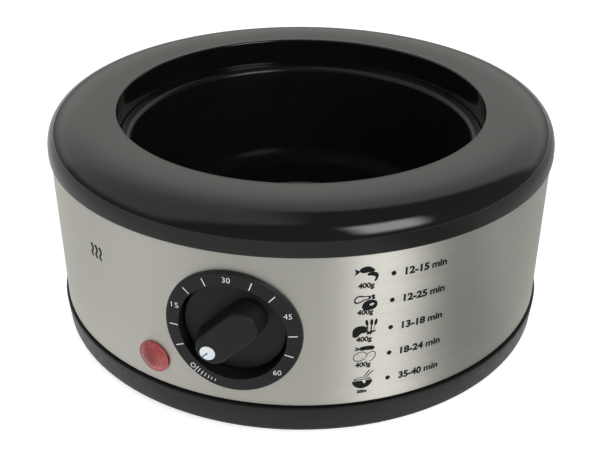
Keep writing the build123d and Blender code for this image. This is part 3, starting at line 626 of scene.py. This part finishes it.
def dial_print():
    lines = [stroke(polar(a, TICK_FROM), polar(a, TICK_TO), TICK_W) for a in TICKS]
    lines.append(stroke(polar(SLASH_AT, SLASH_FROM), polar(SLASH_AT, SLASH_TO), SLASH_W))
    for i, a in enumerate(FAN):
        outer = polar(a, FAN_FROM - FAN_TAPER_OUT * i)
        inner = polar(a, FAN_TO + FAN_TAPER_IN * i)
        lines.append(stroke(outer, inner, FAN_W))
    off = polar(OFF_AT, OFF_R)
    lines += [oval(*off, OFF_OUT, OFF_OUT), oval(*off, OFF_IN, OFF_IN)]
    prints = [(drawn(lines), on_dial)]
    for digits, angle in NUMBERS.items():
        flat = lettered(digits, NUMBER_CAP, NUMBER_W, weight=-0.03)
        prints.append((flat, moved(on_dial, *polar(angle, NUMBER_R))))
    return print_on("dial_scale", prints, PAINT["scale_white"], HOUSING)


def sight_line():
    """A line on the knob's white dot, from its middle outwards."""
    offset = (dot_low + dot_high) / 2 - DIAL_AT
    start = Vector((offset.dot(DIAL_RIGHT), offset.z)) / MM
    dot_r = (dot_high.z - dot_low.z) / 2 / MM
    end = start + start.normalized() * (dot_r - SIGHT_GAP)
    prints = [(drawn([stroke(start, end, SIGHT_W)]), on_dot)]
    return print_on("sight_line", prints, PAINT["print_black"], DIAL)


dial_print()
sight_line()

# ---- the chart: a food, a dot and a time on each row, in millimetres and degrees -----
DOT_AZ = 17.8
TIME_AZ = 24.75
FOOD_AZ = 12.45
DOT_R = 1.05
TIME_CAP = 3.2
DIGITS_W, DIGITS_AT = 10.8, -4.2
UNIT_W, UNIT_AT = 7.1, 6.05
FOOD_LIFT = 0.9
# How far under its row a caption sits, and its cap height
CAPTION, SMALL_CAPTION = (3.9, 2.3), (5.0, 1.5)
CAPTION_STRETCH = 2.95


def fish_and_prawn():
    return [
        (True, [(-3.0, 2.2), (-0.5, 3.9), (2.4, 3.0), (3.2, 1.6), (0.6, 1.2), (-1.8, 1.1)]),
        (False, [(-2.6, 1.9), (-4.9, 3.2), (-4.4, 1.5), (-5.0, -0.1)]),
        (True, [(0.2, 0.1), (2.6, 1.1), (4.6, 0.2), (4.7, -1.6), (3.2, -3.2), (3.6, -1.4), (2.4, -0.6)]),
    ]


def leg_and_steak():
    leg_out = [(-4.8, 1.2), (-3.4, 3.1), (-0.6, 2.9), (2.2, 2.3)]
    leg_out += [(2.0, 1.5), (-0.8, 0.7), (-2.6, -0.3), (-4.4, -0.2)]
    leg_in = [(-4.2, 1.2), (-3.2, 2.5), (-0.8, 2.4), (1.2, 2.0), (-1.0, 1.2), (-2.8, 0.3), (-3.9, 0.4)]
    steak = [(-1.4, -1.6), (0.4, 0.5), (3.4, 0.6), (4.9, -0.9), (4.2, -3.2), (1.4, -4.0), (-1.0, -3.3)]
    return [
        (True, leg_out),
        (True, leg_in),
        oval(3.0, 2.6, 0.75, 0.6),
        oval(3.2, 1.5, 0.7, 0.55),
        (True, steak),
        oval(2.6, -1.4, 1.0, 0.55, 0.3),
    ]


def greens():
    leaf = [(-5.0, -1.6), (-4.4, 0.8), (-1.8, 1.8), (0.8, 0.9)]
    leaf += [(0.9, -1.4), (-1.4, -2.0), (-3.2, -3.6), (-4.7, -3.3)]
    shapes = [(True, leaf)]
    for x, lean in ((1.6, -0.35), (2.9, 0.0), (4.0, 0.35)):
        shapes.append(oval(x + lean * 2, 3.0, 0.62, 1.6, -lean * 0.5))
        shapes.append(stroke((x + lean * 1.3, 1.6), (x - 0.2, -2.8), 0.55))
    shapes.append(stroke((1.2, -1.6), (4.8, -1.2), 0.5))
    return shapes


def carrot_and_potatoes():
    shapes = [
        (True, [(-1.8, 3.5), (0.8, 4.4), (4.7, 3.1), (0.8, 2.4), (-1.6, 2.7)]),
        stroke((-1.9, 3.3), (-3.6, 4.1), 0.6),
        stroke((-1.9, 3.0), (-3.8, 2.8), 0.6),
    ]
    skin = 0.35
    for x, y, rx, ry, lean in ((-1.4, -0.6, 3.1, 2.3, 0.35), (3.0, -1.2, 2.0, 2.9, -0.6)):
        shapes.append(oval(x, y, rx, ry, lean))
        shapes.append(oval(x, y, rx - skin, ry - skin, lean))
    for x, y in ((-2.2, -0.2), (-0.6, -1.3), (3.0, -0.6)):
        shapes.append(oval(x, y, 0.22, 0.22))
    return shapes


def arch(rx, ry, y, start, steps):
    """Half an oval as an outline, closed by its chord."""
    angles = [start + pi * i / steps for i in range(steps + 1)]
    return (False, [(rx * cos(a), y + ry * sin(a)) for a in angles])


def bowl_and_sticks():
    bowl = arch(4.4, 4.0, -0.3, pi, 14)
    rice = arch(3.8, 1.5, 0.1, 0, 10)
    gap = arch(3.1, 0.8, 0.5, 0, 10)
    sticks = [stroke((0.8, 1.9), (3.0, 4.9), 0.45), stroke((1.9, 1.7), (4.7, 4.5), 0.45)]
    return [bowl, rice, gap, *sticks]


ROWS = (
    # height, food, time, caption, the caption's place and size
    (80.0, fish_and_prawn, "12-15", "400g", CAPTION),
    (67.3, leg_and_steak, "12-25", "400g", CAPTION),
    (54.0, greens, "13-18", "400g", CAPTION),
    (41.1, carrot_and_potatoes, "18-24", "400g", CAPTION),
    (28.1, bowl_and_sticks, "35-40", "200g", SMALL_CAPTION),
)


def chart():
    prints = []
    for height, food, time, caption, (drop, cap) in ROWS:
        prints.append((drawn([oval(0, 0, DOT_R, DOT_R)]), on_band(DOT_AZ, height)))
        beside = on_band(TIME_AZ, height)
        prints.append((lettered(time, TIME_CAP, DIGITS_W, weight=0.2), moved(beside, DIGITS_AT, 0)))
        prints.append((lettered("min", TIME_CAP, UNIT_W, weight=0.15), moved(beside, UNIT_AT, 0)))
        prints.append((drawn(food()), on_band(FOOD_AZ, height + FOOD_LIFT)))
        weight = lettered(caption, cap, cap * CAPTION_STRETCH, slant=0.05, weight=0.13)
        prints.append((weight, on_band(FOOD_AZ, height - drop)))
    return print_on("cooking_chart", prints, PAINT["print_black"], HOUSING)


SIGN_AZ, SIGN_Z = -46.5, 70.0


def steam_sign():
    """Three rising curls, a plain sign for steam."""
    curls = []
    for x in (-3.0, 0.0, 3.0):
        left = [(x - 0.45, -3.2), (x - 1.15, -1.4), (x - 0.1, 0.4), (x - 0.75, 3.2)]
        right = [(x + 0.05, 3.2), (x + 0.95, 0.4), (x - 0.15, -1.4), (x + 0.45, -3.2)]
        curls.append((True, left + right))
    prints = [(drawn(curls), on_band(SIGN_AZ, SIGN_Z))]
    return print_on("steam_sign", prints, PAINT["print_black"], HOUSING)


chart()
steam_sign()

# ---- floor, light and camera ---------------------------------------------------------
AIM = Vector((0, 0, 0.08))
FLOOR_SIZE, FLOOR_GLOW, FLOOR_TONE = 12.0, 0.75, 0.86
SKY_COLOUR = (1.0, 1.0, 0.955, 1)
WALL_LOW, WALL_HIGH, ROOM = 0.3, 0.85, 0.16
TABLE_IN, TABLE_OUT, TABLE_Z = 0.13, 3.0, 0.001
TABLE_STEPS = 96
TABLE_TONES = (
    # azimuth from the front, brightness
    (-180, 0.8),
    (-110, 0.58),
    (-85, 0.6),
    (-60, 0.68),
    (-30, 0.64),
    (-5, 0.64),
    (12, 0.56),
    (22, 0.63),
    (30, 0.46),
    (38, 0.26),
    (48, 0.21),
    (60, 0.28),
    (74, 0.44),
    (92, 0.42),
    (110, 0.38),
    (135, 0.42),
    (160, 0.62),
    (180, 0.8),
)
bpy.context.scene.view_settings.view_transform = "Standard"


def glowing_floor():
    bpy.ops.mesh.primitive_plane_add(size=FLOOR_SIZE, location=(0, 0, 0))
    made = bpy.context.object
    made.name = "floor"
    n = Nodes("floor")
    tone = (FLOOR_TONE, FLOOR_TONE, FLOOR_TONE)
    n.paint("Base Color", n.mix(n.noise(n.position(), 3.0), tone, tuple(c * 0.995 for c in tone)))
    n.set(Roughness=0.6, Emission_Color=(1, 1, 1, 1), Emission_Strength=FLOOR_GLOW)
    made.data.materials.append(n.material)


def studio_world():
    """A white backdrop behind the object, with a darker room above and in front."""
    world = bpy.data.worlds.new("studio")
    world.use_nodes = True
    tree = world.node_tree
    bpy.context.scene.world = world

    def step(value, low, high, to_low, to_high):
        """A smooth step between two levels, each a number or another node's output."""
        made = tree.nodes.new("ShaderNodeMapRange")
        made.interpolation_type = "SMOOTHSTEP"
        tree.links.new(value, made.inputs["Value"])
        levels = {"From Min": low, "From Max": high, "To Min": to_low, "To Max": to_high}
        for key, level in levels.items():
            if isinstance(level, bpy.types.NodeSocket):
                tree.links.new(level, made.inputs[key])
            else:
                made.inputs[key].default_value = level
        return made.outputs["Result"]

    coord = tree.nodes.new("ShaderNodeTexCoord")
    split = tree.nodes.new("ShaderNodeSeparateXYZ")
    tree.links.new(coord.outputs["Generated"], split.inputs["Vector"])
    wall = step(split.outputs["Z"], 0.02, 0.35, WALL_LOW, WALL_HIGH)
    room = step(split.outputs["Y"], 0.36, 0.52, ROOM, wall)
    path = tree.nodes.new("ShaderNodeLightPath")
    seen = step(path.outputs["Is Camera Ray"], 0.0, 1.0, room, 1.0)
    sky = tree.nodes["Background"]
    sky.inputs["Color"].default_value = SKY_COLOUR
    tree.links.new(seen, sky.inputs["Strength"])


def aimed(azimuth, elevation, distance):
    """The place seen from the object at an azimuth and elevation, in degrees."""
    a, e = radians(azimuth), radians(elevation)
    return Vector((sin(a) * cos(e), -cos(a) * cos(e), sin(e))) * distance + AIM


def glow_only(name):
    """A material with no shine or colour of its own, which only gives light."""
    n = Nodes(name)
    n.set(Base_Color=(0, 0, 0, 1), Specular_IOR_Level=0.0)
    return n


def soft_card(name, at, size, radiance, edge):
    """A glowing card aimed at the object, which fades away towards its edges."""
    w, h = size[0] / 2, size[1] / 2
    mesh = bpy.data.meshes.new(name)
    mesh.from_pydata([(-w, -h, 0), (w, -h, 0), (w, h, 0), (-w, h, 0)], [], [(0, 1, 2, 3)])
    card = bpy.data.objects.new(name, mesh)
    bpy.context.scene.collection.objects.link(card)
    card.location = at
    card.rotation_euler = (AIM - at).to_track_quat("Z", "Y").to_euler()
    n = glow_only(name)
    parts = n.node("SeparateXYZ", {"Vector": n.node("TexCoord").outputs["Object"]})
    fades = []
    for axis, half in (("X", w), ("Y", h)):
        away = n.math("ABSOLUTE", parts.outputs[axis])
        reach = {"Value": away, "From Min": half, "From Max": half * (1 - edge)}
        fade = n.node("MapRange", reach, interpolation_type="SMOOTHSTEP")
        fades.append(fade.outputs["Result"])
    n.paint("Alpha", n.math("MULTIPLY", *fades))
    n.set(Emission_Color=(1, 1, 1, 1), Emission_Strength=radiance)
    mesh.materials.append(n.material)
    card.visible_camera = False
    card.visible_shadow = False


def table_ring():
    """A tabletop ring seen only in reflections, brighter and darker in turn round the object."""
    bm = bmesh.new()
    for i in range(TABLE_STEPS):
        corners = []
        for r, k in ((TABLE_IN, i), (TABLE_OUT, i), (TABLE_OUT, i + 1), (TABLE_IN, i + 1)):
            a = 2 * pi * k / TABLE_STEPS
            corners.append(bm.verts.new((r * sin(a), -r * cos(a), TABLE_Z)))
        bm.faces.new(corners)
    bmesh.ops.remove_doubles(bm, verts=bm.verts, dist=0.0001)
    mesh = bpy.data.meshes.new("table_ring")
    bm.to_mesh(mesh)
    bm.free()
    ring = bpy.data.objects.new("table_ring", mesh)
    bpy.context.scene.collection.objects.link(ring)
    n = glow_only("table_ring")
    parts = n.node("SeparateXYZ", {"Vector": n.node("TexCoord").outputs["Object"]})
    forward_y = n.math("MULTIPLY", parts.outputs["Y"], -1.0)
    angle = n.math("ARCTAN2", parts.outputs["X"], forward_y)
    turned = n.node("MapRange", {"Value": angle, "From Min": -pi, "From Max": pi})
    ramp = n.node("ValToRGB", {"Fac": turned.outputs["Result"]})
    stops = ramp.color_ramp.elements
    for azimuth, level in TABLE_TONES:
        place = (azimuth + 180) / 360
        if azimuth in (-180, 180):
            stop = stops[0 if azimuth < 0 else -1]
        else:
            stop = stops.new(place)
        stop.position = place
        stop.color = (level, level, level, 1)
    n.paint("Emission Color", ramp.outputs["Color"])
    n.set(Emission_Strength=1.0)
    mesh.materials.append(n.material)
    ring.visible_camera = False
    ring.visible_diffuse = False
    ring.visible_shadow = False
    ring.visible_transmission = False


glowing_floor()
studio_world()
table_ring()
soft_card("key", aimed(37, 29, 1.2), size=(0.8, 0.9), radiance=6.4, edge=0.65)
soft_card("fill", aimed(-85, 50, 1.3), size=(2.2, 2.6), radiance=0.75, edge=0.5)

# The camera stands in front and above, and looks down at the opening.
CAMERA_AT = Vector((0.0, -0.4306, 0.2819))
CAMERA_PITCH = radians(29.90)
CAMERA_YAW = radians(-0.047)
CAMERA_ROLL = radians(0.191)
LENS_MM = 57.3
SENSOR_MM = 36.0

camera = bpy.data.objects.new("camera", bpy.data.cameras.new("camera"))
bpy.context.scene.collection.objects.link(camera)
bpy.context.scene.camera = camera
camera.data.lens = LENS_MM
camera.data.sensor_width = SENSOR_MM
camera.data.clip_start = 0.01
forward = Vector(
    (
        sin(CAMERA_YAW) * cos(CAMERA_PITCH),
        cos(CAMERA_YAW) * cos(CAMERA_PITCH),
        -sin(CAMERA_PITCH),
    )
)
level = Vector((cos(CAMERA_YAW), -sin(CAMERA_YAW), 0))
above = level.cross(forward)
right = level * cos(CAMERA_ROLL) + above * sin(CAMERA_ROLL)
up = above * cos(CAMERA_ROLL) - level * sin(CAMERA_ROLL)
turn = Matrix((right, up, -forward)).transposed().to_4x4()
camera.matrix_world = Matrix.Translation(CAMERA_AT) @ turn
